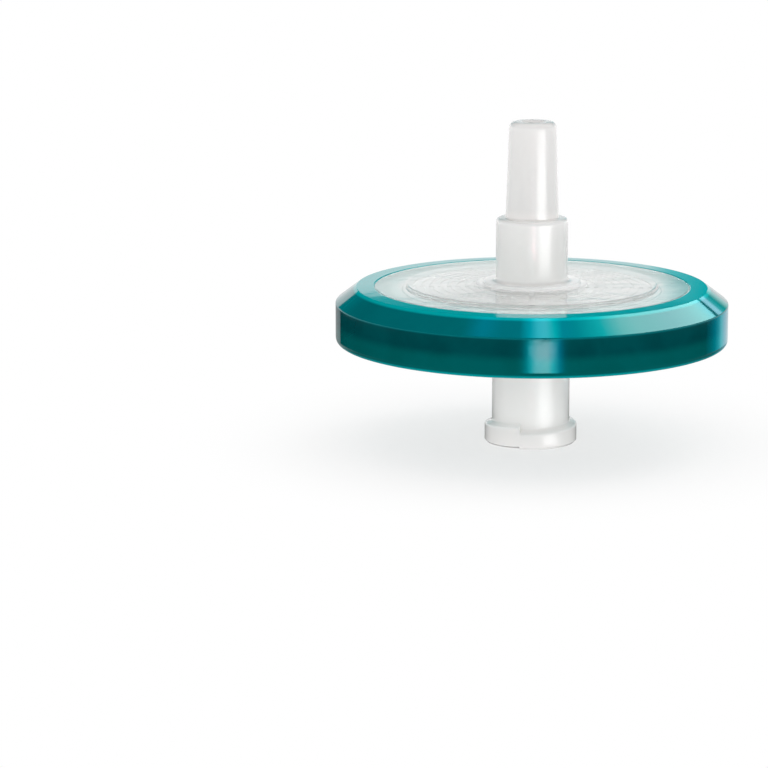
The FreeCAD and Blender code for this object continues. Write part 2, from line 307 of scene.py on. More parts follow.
# ---------------------------------------------------------------- outlet shell

def outlet_outline(column):
    """From the bore across the chamber, round the flange and up the tip."""
    flange = FLANGE - FITTING_GAP
    rim = OUTLET_RIM - FITTING_GAP
    shoulder = OUTLET_SHOULDER - FITTING_GAP
    top = OUTLET_FACE - FITTING_GAP
    return [
        corner(OUTLET_BORE, OUTLET_FLOOR),
        *ribs(column, OUTLET_FLOOR, SEAM),
        corner(CHAMBER, OUTLET_FLOOR, SOFT),
        corner(CHAMBER, SEAM),
        corner(flange, SEAM),
        corner(flange, shoulder),
        corner(rim, shoulder),
        corner(rim, top, SOFT),
        corner(OUTLET_WINDOW, OUTLET_FACE, SOFT),
        corner(OUTLET_WINDOW, WINDOW_TOP, WINDOW_ROUND, 4),
        corner(PAD, WINDOW_TOP),
        corner(PAD, PAD_TOP, SOFT),
        corner(COLLAR, PAD_TOP, COLLAR_ROUND, 5),
        corner(COLLAR, COLLAR_TOP, COLLAR_ROUND, 6),
        corner(TIP_BASE, COLLAR_TOP, SOFT),
        corner(TIP_RADIUS, TIP_END, TIP_ROUND, 8),
        corner(OUTLET_BORE, TIP_END, SOFT),
    ]


# ---------------------------------------------------------------- inlet shell

def lug_corners(column):
    """The foot and the lug of one column, from the end face up to the neck."""
    azimuth = azimuth_of(column, LUG) % math.pi
    climb = LUG_RISE * azimuth / math.pi
    crest_bottom = LUG_CREST_BOTTOM + climb
    crest_top = crest_bottom + LUG_CREST_WIDTH
    root_bottom = crest_bottom - LUG_FLANK
    slope = (LUG - NECK) / LUG_FLANK
    foot = min(max(NECK - root_bottom * slope, NECK + CRISP), LUG - LUG_FOOT_CHAMFER)
    return [
        corner(foot, 0.0),
        corner(LUG, max(crest_bottom, LUG_FOOT_CHAMFER)),
        corner(LUG, crest_top, LUG_ROUND, 4),
        corner(NECK, crest_top + LUG_FLANK, LUG_ROUND, 4),
    ]


def inlet_outline(column):
    """From the socket's mouth up the neck, round the flange and back down the socket."""
    rim = INLET_RIM - FITTING_GAP
    flange = FLANGE - FITTING_GAP
    shoulder = INLET_SHOULDER + FITTING_GAP
    face = INLET_FACE + FITTING_GAP
    return [
        corner(SOCKET_MOUTH + SOCKET_LEAD_IN, 0.0),
        *lug_corners(column),
        corner(NECK, BOSS_FACE, BOSS_ROUND, 5),
        corner(BOSS, BOSS_FACE, BOSS_ROUND, 5),
        corner(BOSS_ROOT, INLET_WINDOW_FACE, BOSS_ROUND, 5),
        corner(INLET_WINDOW, INLET_WINDOW_FACE, SOFT),
        corner(INLET_WINDOW, INLET_FACE),
        corner(rim, face),
        corner(rim, shoulder),
        corner(flange, shoulder),
        corner(flange, SEAM - FITTING_GAP),
        corner(SEAT, SEAM - FITTING_GAP),
        corner(SEAT, MEMBRANE_BOTTOM),
        corner(CHAMBER, MEMBRANE_BOTTOM),
        corner(CHAMBER, INLET_FLOOR, SOFT),
        *reversed(ribs(column, INLET_FLOOR, INLET_FLOOR + RIB_HEIGHT)),
        corner(INLET_BORE, INLET_FLOOR, SOFT),
        corner(INLET_BORE, PORT_START),
        corner(SOCKET_END, SOCKET_DEPTH),
        corner(SOCKET_MOUTH, SOCKET_LEAD_IN),
    ]


# ---------------------------------------------------------------- ring and membrane

def ring_outline(column):
    """From the inlet side up round the flanges, over the lip and down the wall."""
    annulus_edge = RING - RING_BEAD_WIDTH
    return [
        corner(INLET_RIM - RING_FEATHER, INLET_FACE, SHARP),
        corner(INLET_RIM, INLET_FACE),
        corner(INLET_RIM, INLET_SHOULDER),
        corner(FLANGE, INLET_SHOULDER),
        corner(FLANGE, OUTLET_SHOULDER),
        corner(OUTLET_RIM, OUTLET_SHOULDER),
        corner(OUTLET_RIM, OUTLET_FACE, SOFT),
        corner(RING - RING_CHAMFER_WIDTH, OUTLET_FACE - RING_LIP_FALL, SOFT),
        corner(RING, RING_WALL_TOP, SOFT),
        corner(RING, RING_BOTTOM, BEAD_ROUND, 6),
        corner(annulus_edge, RING_BOTTOM, SOFT),
        corner(annulus_edge - RING_BEAD_SLOPE, RING_ANNULUS, SOFT),
        corner(INLET_RIM, RING_ANNULUS),
    ]


def membrane_outline(column):
    """Out along the underside and back along the top, with two rings in between."""
    top = SEAM - FITTING_GAP
    radii = (0.0, MEMBRANE / 3, MEMBRANE * 2 / 3)
    underside = [corner(radius, MEMBRANE_BOTTOM, SHARP) for radius in radii]
    edge = [corner(MEMBRANE, MEMBRANE_BOTTOM), corner(MEMBRANE, top)]
    upper_side = [corner(radius, top, SHARP) for radius in reversed(radii)]
    return underside + edge + upper_side


# ---------------------------------------------------------------- material helpers

class Nodes:
    """Builds one node tree, a node at a time."""

    def __init__(self, tree):
        self.tree = tree

    def add(self, kind, inputs=None, **settings):
        node = self.tree.nodes.new(kind)
        for key, value in settings.items():
            setattr(node, key, value)
        for key, value in (inputs or {}).items():
            self.join(value, node.inputs[key])
        return node

    def join(self, value, socket):
        if isinstance(value, bpy.types.NodeSocket):
            self.tree.links.new(value, socket)
        else:
            socket.default_value = value

    def math(self, operation, first, second=0.0):
        node = self.add("ShaderNodeMath", operation=operation)
        self.join(first, node.inputs[0])
        self.join(second, node.inputs[1])
        return node.outputs[0]

    def ramp(self, value, low, high, to_low=0.0, to_high=1.0):
        """A smooth step of value between low and high."""
        inputs = {"Value": value, "From Min": low, "From Max": high}
        inputs["To Min"] = to_low
        inputs["To Max"] = to_high
        node = self.add("ShaderNodeMapRange", inputs, interpolation_type="SMOOTHSTEP")
        return node.outputs["Result"]

    def mix(self, factor, first, second):
        """A colour between two others."""
        node = self.add("ShaderNodeMix", data_type="RGBA")
        # the colour sockets share their names with the float ones, so they go by number
        self.join(factor, node.inputs[0])
        self.join(first, node.inputs[6])
        self.join(second, node.inputs[7])
        return node.outputs[2]

    def noise(self, scale, detail=3.0, vector=None, distortion=0.0):
        inputs = {"Scale": scale, "Detail": detail, "Distortion": distortion}
        if vector is not None:
            inputs["Vector"] = vector
        return self.add("ShaderNodeTexNoise", inputs).outputs["Fac"]

    def position(self):
        """Place on the object, its height, and its distance from the axis."""
        place = self.add("ShaderNodeTexCoord").outputs["Object"]
        parts = self.add("ShaderNodeSeparateXYZ", {"Vector": place}).outputs
        flat = self.add("ShaderNodeCombineXYZ", {"X": parts["X"], "Y": parts["Y"]})
        radius = self.add("ShaderNodeVectorMath", {0: flat.outputs[0]}, operation="LENGTH")
        return place, parts["Z"], radius.outputs["Value"]


def new_material(name):
    """An empty material, its node helper and its output node."""
    material = bpy.data.materials.new(name)
    material.use_nodes = True
    material.node_tree.nodes.clear()
    nodes = Nodes(material.node_tree)
    output = nodes.add("ShaderNodeOutputMaterial")
    return material, nodes, output


# ---------------------------------------------------------------- materials

# linear colours of the plastics and the membrane
MILK_DEEP = (0.905, 0.88, 0.865, 1)
MILK_PALE = (0.955, 0.93, 0.915, 1)
# painted shade of the hub, and painted light past its body
MILK_PAINTED_SHADE = (0.81, 0.79, 0.78, 1)
MILK_PAINTED_LIGHT = (0.985, 0.975, 0.965, 1)
WINDOW_CLEAR = (0.985, 0.985, 0.98, 1)
# painted teal of the ring, as seen through the window's edge
WINDOW_PAINTED_TEAL = (0.80, 0.91, 0.90, 1)
# the ring's teal with painted light and shade: lit low on the wall, shaded high, lit at the foot, the
# slope and the lip; painted light on the underside and the inside faces
TEAL_WALL_PAINTED_BOUNCE = (0.0, 0.092, 0.091, 1)
TEAL_WALL_PAINTED_SHADE = (0.0, 0.052, 0.059, 1)
TEAL_FOOT_PAINTED_LIGHT = (0.0, 0.33, 0.355, 1)
TEAL_SLOPE_PAINTED_LIGHT = (0.0, 0.132, 0.149, 1)
TEAL_LIP_PAINTED_LIGHT = (0.0, 0.37, 0.39, 1)
TEAL_UNDERSIDE_PAINTED_LIGHT = (0.0, 0.24, 0.25, 1)
TEAL_INSIDE_PAINTED_LIGHT = (0.45, 0.80, 0.78, 1)
TEAL_FLOW = (0.0, 0.30, 0.32, 1)
TEAL_GLOSS = (0.15, 0.95, 1.0, 1.0)
MEMBRANE_DEEP = (0.93, 0.93, 0.915, 1)
MEMBRANE_PALE = (0.97, 0.97, 0.955, 1)

# heights between which painted shade greys the hub, and how much
TIP_FADE = (COLLAR_TOP - 0.2 * MM, COLLAR_TOP + 1.0 * MM)
COLLAR_FADE = (PAD_TOP + 0.3 * MM, PAD_TOP + 1.3 * MM)
FOOT_FADE = (1.2 * MM, 2.2 * MM)
TIP_PAINTED_SHADE = 0.9
COLLAR_PAINTED_SHADE = 0.3
FOOT_PAINTED_SHADE = 0.6

# radii between which the shells change: past the hub's body, where painted light pales the milk, and
# at the window's edge, where the ring's teal is painted in
PAST_BODY = (0.05 * MM, 0.4 * MM)
EDGE_FADE = (CHAMBER + 0.1 * MM, CHAMBER + 0.5 * MM)

# heights between which the ring's painted light and shade change, from the bottom up
FOOT_TEAL_FADE = (RING_BOTTOM + 0.1 * MM, RING_BOTTOM + 0.35 * MM)
WALL_FADE = (RING_BOTTOM + 1.2 * MM, RING_BOTTOM + 2.1 * MM)
SLOPE_FADE = (OUTLET_FACE - 1.56 * MM, OUTLET_FACE - 1.4 * MM)
LIP_FADE = (OUTLET_FACE - 0.3 * MM, OUTLET_FACE - 0.14 * MM)

# the ring's flat underside and its faces inside, both paler by painted light: radii, lowest and
# highest place
UNDERSIDE_FADE = (RING - 0.55 * MM, RING - 0.45 * MM)
INSIDE_FADE = (FLANGE + 0.1 * MM, FLANGE + 0.2 * MM)
INSIDE_BOTTOM = RING_ANNULUS + 0.1 * MM
INSIDE_TOP = OUTLET_FACE - 0.15 * MM

# shells
HOUSING_IOR = 1.49
WINDOW_ROUGH = 0.08
HUB_ROUGH = 0.24
COAT_ROUGH = 0.25
HUB_SWIRL = 0.12
WINDOW_SWIRL = 0.05
SWIRL_DEPTH = 0.4 * MM
SCATTERING = 0.8
SCATTER_DEPTH = 1.5 * MM
REFRACTING = 0.78           # share of the window that refracts instead of scattering
LET_THROUGH = 0.93          # share of the membrane's light that passes straight through
GRAIN_ROUGH = 0.03          # what the grain adds to the roughness of shells and ring

# ring and membrane
RING_IOR = 1.5
RING_ROUGH = 0.045
STREAKS = 0.06
FLOW_BUMP = 0.03
FLOW_DEPTH = 0.3 * MM
MEMBRANE_ROUGH = 0.85
FIBRE_ROUGH = 0.1
FIBRE_BUMP = 0.4
FIBRE_DEPTH = 0.05 * MM

# noise scales, per metre
CLOUD_SCALE = 260.0
SWIRL_SCALE = 190.0
GRAIN_SCALE = 2600.0
FLOW_SCALE = 300.0
RING_GRAIN_SCALE = 3000.0
FIBRE_SCALE = 9000.0
FELT_SCALE = 700.0
PAPER_SCALE = 900.0


def milky_colour(nodes, place, height, thick):
    """The hub's plastic: clouded, greyer towards the tip, the collar and the foot by painted shade,
    and paler past the hub's body by painted light.
    """
    cloud = nodes.noise(CLOUD_SCALE, 3.0, place, 0.6)
    # painted shade: the hub greys towards the tip, the collar and the foot
    tip = nodes.ramp(height, *TIP_FADE, 0.0, TIP_PAINTED_SHADE)
    collar = nodes.ramp(height, *COLLAR_FADE, 0.0, COLLAR_PAINTED_SHADE)
    foot = nodes.ramp(height, *FOOT_FADE, FOOT_PAINTED_SHADE, 0.0)
    grey = nodes.math("ADD", nodes.math("MAXIMUM", tip, collar), foot)
    milky = nodes.mix(grey, nodes.mix(cloud, MILK_DEEP, MILK_PALE), MILK_PAINTED_SHADE)
    # painted light: past the hub's body the milk turns paler
    return nodes.mix(thick, MILK_PAINTED_LIGHT, milky)


def straight_through(nodes, clear):
    """Alpha that lets the membrane's light straight through the refracting window."""
    path = nodes.add("ShaderNodeLightPath").outputs
    lighting = nodes.math("MAXIMUM", path["Is Shadow Ray"], path["Is Diffuse Ray"])
    through = nodes.math("MULTIPLY", nodes.math("MULTIPLY", clear, lighting), LET_THROUGH)
    return nodes.math("SUBTRACT", 1.0, through)


def housing_material(name, body, clear_from, clear_to):
    """Natural polypropylene: clear in the thin window, milky in the thick hub, with painted light
    past the hub's body and painted teal at the window's edge.
    """
    material, nodes, output = new_material(name)
    place, height, radius = nodes.position()
    clear = nodes.ramp(radius, clear_from, clear_to)
    thick = nodes.ramp(radius, body + PAST_BODY[0], body + PAST_BODY[1], 1.0, 0.0)
    # painted teal: the ring as seen through the window's edge
    at_edge = nodes.ramp(radius, *EDGE_FADE)
    glass = nodes.mix(at_edge, WINDOW_CLEAR, WINDOW_PAINTED_TEAL)
    grain = nodes.noise(GRAIN_SCALE, 2.0, place)
    matt = nodes.ramp(thick, 0.0, 1.0, WINDOW_ROUGH, HUB_ROUGH)
    bump = nodes.add("ShaderNodeBump", {
        "Height": nodes.noise(SWIRL_SCALE, 2.0, place, 1.2),
        "Strength": nodes.ramp(clear, 0.0, 1.0, HUB_SWIRL, WINDOW_SWIRL),
        "Distance": SWIRL_DEPTH,
    })
    shader = nodes.add("ShaderNodeBsdfPrincipled", {
        "Base Color": nodes.mix(clear, milky_colour(nodes, place, height, thick), glass),
        "Alpha": straight_through(nodes, clear),
        "Coat Weight": thick,
        "Coat Roughness": COAT_ROUGH,
        "Roughness": nodes.math("ADD", matt, nodes.math("MULTIPLY", grain, GRAIN_ROUGH)),
        "IOR": HOUSING_IOR,
        "Transmission Weight": nodes.math("MULTIPLY", clear, REFRACTING),
        "Subsurface Weight": nodes.ramp(clear, 0.0, 1.0, SCATTERING, 0.0),
        "Subsurface Radius": (1.0, 1.0, 1.0),
        "Subsurface Scale": SCATTER_DEPTH,
        "Normal": bump.outputs["Normal"],
    })
    nodes.join(shader.outputs[0], output.inputs["Surface"])
    return material


def ring_outside(nodes, height):
    """Painted light and shade of the ring's teal: a lit foot, a wall lit low and shaded high, a lit
    sloped band and lip, from the bottom up.
    """
    at_foot = nodes.ramp(height, *FOOT_TEAL_FADE, 1.0, 0.0)
    up_wall = nodes.ramp(height, *WALL_FADE)
    on_slope = nodes.ramp(height, *SLOPE_FADE)
    on_lip = nodes.ramp(height, *LIP_FADE)
    # painted shade high on the wall; painted light low on it, at the foot, on the slope and on the
    # lip
    wall = nodes.mix(up_wall, TEAL_WALL_PAINTED_BOUNCE, TEAL_WALL_PAINTED_SHADE)
    wall = nodes.mix(at_foot, wall, TEAL_FOOT_PAINTED_LIGHT)
    wall = nodes.mix(on_slope, wall, TEAL_SLOPE_PAINTED_LIGHT)
    return nodes.mix(on_lip, wall, TEAL_LIP_PAINTED_LIGHT)


def ring_colour(nodes, height, radius):
    """The outside, and the flat underside and the faces that only show through the shells, both paler
    by painted light.
    """
    # painted light: the underside and the inside faces are a paler teal
    under = nodes.ramp(radius, *UNDERSIDE_FADE, 1.0, 0.0)
    under = nodes.math("MULTIPLY", under, nodes.math("LESS_THAN", height, INSIDE_BOTTOM))
    outside = nodes.mix(under, ring_outside(nodes, height), TEAL_UNDERSIDE_PAINTED_LIGHT)
    inner = nodes.ramp(radius, *INSIDE_FADE, 1.0, 0.0)
    inner = nodes.math("MULTIPLY", inner, nodes.math("GREATER_THAN", height, INSIDE_BOTTOM))
    below_lip = nodes.math("LESS_THAN", height, INSIDE_TOP)
    return nodes.mix(nodes.math("MULTIPLY", inner, below_lip), outside, TEAL_INSIDE_PAINTED_LIGHT)


def ring_material():
    """Glossy teal polypropylene, its colour graded by height with painted light and shade."""
    material, nodes, output = new_material("teal_polypropylene")
    place, height, radius = nodes.position()
    flow = nodes.noise(FLOW_SCALE, 3.0, place, 0.4)
    streaks = nodes.ramp(flow, 0.3, 0.7, 0.0, STREAKS)
    grain = nodes.noise(RING_GRAIN_SCALE, 2.0, place)
    bump = nodes.add("ShaderNodeBump", {
        "Height": flow, "Strength": FLOW_BUMP, "Distance": FLOW_DEPTH,
    })
    shader = nodes.add("ShaderNodeBsdfPrincipled", {
        "Base Color": nodes.mix(streaks, ring_colour(nodes, height, radius), TEAL_FLOW),
        "Roughness": nodes.math("ADD", RING_ROUGH, nodes.math("MULTIPLY", grain, GRAIN_ROUGH)),
        "IOR": RING_IOR,
        "Specular Tint": TEAL_GLOSS,
        "Normal": bump.outputs["Normal"],
    })
    nodes.join(shader.outputs[0], output.inputs["Surface"])
    return material


def membrane_material():
    """Matt white filter membrane."""
    material, nodes, output = new_material("white_membrane")
    place = nodes.add("ShaderNodeTexCoord").outputs["Object"]
    fibre = nodes.noise(FIBRE_SCALE, 4.0, place)
    felt = nodes.noise(FELT_SCALE, 3.0, place)
    bump = nodes.add("ShaderNodeBump", {
        "Height": fibre, "Strength": FIBRE_BUMP, "Distance": FIBRE_DEPTH,
    })
    shader = nodes.add("ShaderNodeBsdfPrincipled", {
        "Base Color": nodes.mix(felt, MEMBRANE_DEEP, MEMBRANE_PALE),
        "Roughness": nodes.math("ADD", MEMBRANE_ROUGH, nodes.math("MULTIPLY", fibre, FIBRE_ROUGH)),
        "Normal": bump.outputs["Normal"],
    })
    nodes.join(shader.outputs[0], output.inputs["Surface"])
    return material


# ---------------------------------------------------------------- the filter

def filter_pieces():
    """The four pieces in the place of the CAD solids; gives back the shells and the ring."""
    outlet_plastic = housing_material("outlet_polypropylene", COLLAR, PAD - 0.1 * MM, PAD + 0.9 * MM)
    inlet_plastic = housing_material("inlet_polypropylene", LUG, LUG + 0.2 * MM, BOSS_ROOT)
    columns = CHANNEL_COUNT * LANES
    outlet = turned("outlet_shell", outlet_outline, columns, azimuth_of)
    inlet = turned("inlet_shell", inlet_outline, columns, azimuth_of, INLET_TURN)
    ring = turned("teal_ring", ring_outline, EVEN_COLUMNS, even_azimuth)
    disc = turned("filter_membrane", membrane_outline, EVEN_COLUMNS, even_azimuth, closed=False)
    dress(outlet, "outlet_housing", outlet_plastic)
    dress(inlet, "inlet_housing", inlet_plastic)
    dress(ring, "overmould_ring", ring_material())
    dress(disc, "membrane", membrane_material())
    return [outlet, inlet], ring


# ---------------------------------------------------------------- floor

WHITE = (1, 1, 1, 1)
PAPER_DEEP = (0.82, 0.82, 0.82, 1)
PAPER_PALE = (0.86, 0.86, 0.86, 1)
FLOOR_REACH = 3.0
FLOOR_GRID = 8
TABLE_GLOW = 0.78           # share of white in the light that the floor gives the object
FLOOR_WHITE_FROM = 0.004    # the floor that is looked at fades to white over these radii
FLOOR_WHITE_TO = 0.030
FLOOR_NEAR_WHITE = 0.62
MIRROR_WHITE_FROM = 0.03    # and the floor that reflections find over these
MIRROR_WHITE_TO = 0.16
MIRROR_NEAR_WHITE = 0.06
MIRROR_BEHIND = 0.4         # and at least this bright behind the object
BEHIND_FADE = (5 * MM, 25 * MM)


def mirrored_floor(nodes, place, radius):
    """Reflections find the floor dark under the object and white further out."""
    dim = nodes.ramp(radius, MIRROR_WHITE_FROM, MIRROR_WHITE_TO, MIRROR_NEAR_WHITE, 1.0)
    depth = nodes.add("ShaderNodeSeparateXYZ", {"Vector": place}).outputs["Y"]
    behind = nodes.ramp(depth, *BEHIND_FADE, 0.0, MIRROR_BEHIND)
    strength = nodes.math("MAXIMUM", dim, behind)
    return nodes.add("ShaderNodeEmission", {"Color": WHITE, "Strength": strength})


def floor_material():
    """Pale floor that fades to white away from the object, and is open from below."""
    material, nodes, output = new_material("floor")
    place, _, radius = nodes.position()
    colour = nodes.mix(nodes.noise(PAPER_SCALE, 2.0, place), PAPER_DEEP, PAPER_PALE)
    paper = nodes.add("ShaderNodeBsdfDiffuse", {"Color": colour})
    path = nodes.add("ShaderNodeLightPath").outputs
    white = nodes.add("ShaderNodeEmission", {"Color": WHITE, "Strength": 1.0})
    looked_at = nodes.math("MAXIMUM", path["Is Camera Ray"], path["Is Transmission Ray"])
    fade = nodes.ramp(radius, FLOOR_WHITE_FROM, FLOOR_WHITE_TO, FLOOR_NEAR_WHITE, 1.0)
    bounced = nodes.math("SUBTRACT", 1.0, looked_at)
    shown = nodes.math("MULTIPLY", fade, looked_at)
    factor = nodes.math("ADD", shown, nodes.math("MULTIPLY", bounced, TABLE_GLOW))
    lit = nodes.add("ShaderNodeMixShader", {0: factor, 1: paper.outputs[0], 2: white.outputs[0]})
    mirror = mirrored_floor(nodes, place, radius)
    seen = nodes.add("ShaderNodeMixShader", {
        0: path["Is Glossy Ray"], 1: lit.outputs[0], 2: mirror.outputs[0],
    })
    back = nodes.add("ShaderNodeNewGeometry").outputs["Backfacing"]
    clear = nodes.add("ShaderNodeBsdfTransparent")
    both = nodes.add("ShaderNodeMixShader", {0: back, 1: seen.outputs[0], 2: clear.outputs[0]})
    nodes.join(both.outputs[0], output.inputs["Surface"])
    return material


def floor():
    mesh = bpy.data.meshes.new("floor")
    shape = bmesh.new()
    bmesh.ops.create_grid(shape, x_segments=FLOOR_GRID, y_segments=FLOOR_GRID, size=FLOOR_REACH)
    shape.to_mesh(mesh)
    shape.free()
    plane = bpy.data.objects.new("floor", mesh)
    bpy.context.scene.collection.objects.link(plane)
    mesh.materials.append(floor_material())


# ---------------------------------------------------------------- world

LOW_LIGHT = 0.88            # what the room sheds from low down, and from overhead
HIGH_LIGHT = 0.29
LOW_UNTIL = 0.3             # sines of the elevations between which it dims
HIGH_FROM = 0.65
HORIZON = 0.191             # sine of the elevation up to which reflections find white
HORIZON_BLUR = 0.004
HAZE_TOP = 0.5
HAZE = (0.0, 0.27, 0.30, 1)
DARK = (0, 0, 0, 1)


def world():
    """Plain soft studio: white to look at, with a grey room that sheds the light."""
    room = bpy.data.worlds.new("studio")
    bpy.context.scene.world = room
    room.use_nodes = True
    room.node_tree.nodes.clear()
    nodes = Nodes(room.node_tree)
    output = nodes.add("ShaderNodeOutputWorld")
    path = nodes.add("ShaderNodeLightPath").outputs
    towards = nodes.add("ShaderNodeTexCoord").outputs["Generated"]
    height = nodes.add("ShaderNodeSeparateXYZ", {"Vector": towards}).outputs["Z"]
    low = nodes.ramp(height, HORIZON - HORIZON_BLUR, HORIZON + HORIZON_BLUR, 1.0, 0.0)
    # above the white horizon a reflection finds a teal haze, and dark higher up
    haze = nodes.mix(nodes.ramp(height, HORIZON, HAZE_TOP), HAZE, DARK)
    mirror = nodes.mix(low, haze, WHITE)
    light = nodes.ramp(height, LOW_UNTIL, HIGH_FROM, LOW_LIGHT, HIGH_LIGHT)
    room_light = nodes.add("ShaderNodeCombineColor", {0: light, 1: light, 2: light}).outputs[0]
    clear = nodes.math("MAXIMUM", path["Is Camera Ray"], path["Is Transmission Ray"])
    unseen = nodes.mix(path["Is Glossy Ray"], room_light, mirror)
    colour = nodes.mix(clear, unseen, WHITE)
    backdrop = nodes.add("ShaderNodeBackground", {"Color": colour, "Strength": 1.0})
    nodes.join(backdrop.outputs[0], output.inputs["Surface"])


# ---------------------------------------------------------------- view and directions

def direction(azimuth, elevation):
    """Unit vector; azimuth runs from +Y to the right, in degrees."""
    a = math.radians(azimuth)
    e = math.radians(elevation)
    return Vector((math.sin(a) * math.cos(e), math.cos(a) * math.cos(e), math.sin(e)))


def outward(angle):
    """Unit vector away from the axis; the angle runs from the front to the right."""
    a = math.radians(angle)
    return Vector((math.sin(a), -math.cos(a), 0))


AIM_HEIGHT = 14 * MM
CAMERA_DISTANCE = 271 * MM
CAMERA_ELEVATION = math.degrees(0.1726)
CAMERA_YAW = 0.0457
CAMERA_PITCH = -0.0333
CAMERA_ROLL = -0.0065
CAMERA_PLACE = Vector((0, 0, AIM_HEIGHT)) - direction(0, -CAMERA_ELEVATION) * CAMERA_DISTANCE
LENS_LENGTH = 150.56
SENSOR_WIDTH = 36.0
NEAREST_SEEN = 0.01


def camera():
    """The photograph's viewing angle: a long lens, a little above the object."""
    lens = bpy.data.cameras.new("camera")
    lens.lens = LENS_LENGTH
    lens.sensor_width = SENSOR_WIDTH
    lens.clip_start = NEAREST_SEEN
    eye = bpy.data.objects.new("camera", lens)
    bpy.context.scene.collection.objects.link(eye)
    eye.location = CAMERA_PLACE
    upright = Matrix.Rotation(math.radians(90 - CAMERA_ELEVATION), 3, "X")
    aside = Matrix.Rotation(CAMERA_YAW, 3, "Y")
    tilt = Matrix.Rotation(CAMERA_PITCH, 3, "X")
    roll = Matrix.Rotation(-CAMERA_ROLL, 3, "Z")
    eye.rotation_euler = (upright @ aside @ tilt @ roll).to_euler()
    bpy.context.scene.camera = eye


def mirrored(angle, radius, height, tilt):
    """Where a band of the filter sends the camera's line of sight, and from where."""
    place = outward(angle) * radius + Vector((0, 0, height))
    normal = outward(angle) * math.cos(tilt) + Vector((0, 0, math.sin(tilt)))
    return (place - CAMERA_PLACE).normalized().reflect(normal), place


CHAMFER_MIDDLE = RING - RING_CHAMFER_WIDTH / 2
CHAMFER_HEIGHT = OUTLET_FACE - RING_CHAMFER_HEIGHT / 2
CHAMFER_TILT = math.atan2(RING_CHAMFER_WIDTH, RING_CHAMFER_HEIGHT)


def chamfer_direction(angle):
    return mirrored(angle, CHAMFER_MIDDLE, CHAMFER_HEIGHT, CHAMFER_TILT)[0]


def floor_seen(angle, radius, height, lift, tilt=0.0):
    """The place on the floor that a wall mirrors to the camera."""
    towards, place = mirrored(angle, radius, height, tilt)
    return place - towards * (place.z - lift) / towards.z


# ---------------------------------------------------------------- lamps

LAMP_AIM = Vector((0, 0, 12 * MM))
ROOM = 0.8                  # how far off the softboxes stand
BOX = 0.9                   # how wide they are
LOW_BOX = 0.36              # and how high the low one is
RIGHT_BOX = 0.4             # width of the long one on the right
LAMP_LIFT = 0.06 * MM       # the floor lamps lie this high


def lamp(name, towards, away, width, height, radiance):
    """A rectangular softbox that faces the object; nothing mirrors it."""
    light = bpy.data.lights.new(name, "AREA")
    light.shape = "RECTANGLE"
    light.size = width
    light.size_y = height
    light.energy = radiance * math.pi * width * height
    softbox = bpy.data.objects.new(name, light)
    softbox.location = LAMP_AIM + towards * away
    softbox.rotation_mode = "QUATERNION"
    softbox.rotation_quaternion = towards.to_track_quat("Z", "Y")
    softbox.visible_camera = False
    softbox.visible_glossy = False
    bpy.context.scene.collection.objects.link(softbox)
    return softbox


def long_box_between(name, start, end, width, radiance):
    """A softbox whose long side runs from one direction to another."""
    middle = (start + end).normalized()
    length = ROOM * 2 * math.tan(start.angle(end) / 2)
    box = lamp(name, middle, ROOM, width, length, radiance)
    across = (end - start).normalized().cross(middle).normalized()
    up = middle.cross(across).normalized()
    box.rotation_quaternion = Matrix((across, up, middle)).transposed().to_quaternion()


def floor_lamp(name, angle, near, far, width, radiance, group):
    """A softbox lying on the floor that only the given group mirrors."""
    down = Vector((0, 0, -1))
    away = outward(angle)
    box = lamp(name, down, 0.0, width, far - near, radiance)
    box.location = away * (near + far) / 2 + Vector((0, 0, LAMP_LIFT))
    box.rotation_quaternion = Matrix((away.cross(down), away, down)).transposed().to_quaternion()
    box.visible_glossy = True
    box.visible_diffuse = False
    box.visible_transmission = False
    box.light_linking.receiver_collection = group


def light_group(name, pieces):
    """A collection that a lamp or a card can be kept to."""
    group = bpy.data.collections.new(name)
    for piece in pieces:
        group.objects.link(piece)
    return group


def lights():
    """Soft fill from the left, from above, from the front and along the right."""
    lamp("left_fill", direction(-75, 48), ROOM, BOX, BOX, 0.2)
    lamp("top_fill", direction(0, 85), ROOM, BOX, BOX, 0.9)
    lamp("front_fill", direction(180, 10), ROOM, BOX, LOW_BOX, 1.6)
    long_box_between("right_box", chamfer_direction(25), chamfer_direction(68.5), RIGHT_BOX, 2.4)


def hub_reflections(shells):
    """A soft white streak on the right of the neck, the lugs, the collar and the tip."""
    group = light_group("shells", shells)
    floor_lamp("neck_glow", 39, 12 * MM, 50 * MM, 15 * MM, 2.8, group)
    floor_lamp("lug_glow", 36, 5 * MM, 12 * MM, 3.2 * MM, 2.8, group)
    floor_lamp("collar_glow", 39, 78 * MM, 125 * MM, 58 * MM, 3.7, group)
    floor_lamp("tip_glow", 43, 125 * MM, 240 * MM, 128 * MM, 10.5, group)


# ---------------------------------------------------------------- reflection cards

# Strips of light that only reflections see. Each runs along the ring: its stops are
# (angle in degrees from the front to the right, linear colour).
CARD_STEPS = 24
FLAG_LIFT = 0.03 * MM       # the cards on the floor lie in three layers
GLOW_LIFT = 0.06 * MM
PATCH_LIFT = 0.09 * MM
SKY = 0.9                   # distance of the cards in the air
PATCH_LOW = 10.2 * MM       # heights between which the bright patch shows on the wall
PATCH_HIGH = 11.75 * MM
PATCH_TIP = 0.001           # keeps the patch's ends open
ANGLE_STEP = 0.1            # to the next angle, for the run of a card in the air
FOOT_HEIGHT = 0.5 * MM      # the ring's rounded foot, and how its faces lean
FOOT_TILT = math.radians(-35)
FOOT_TOP_TILT = math.radians(-2)
BLACK = (0.0, 0.0, 0.0)


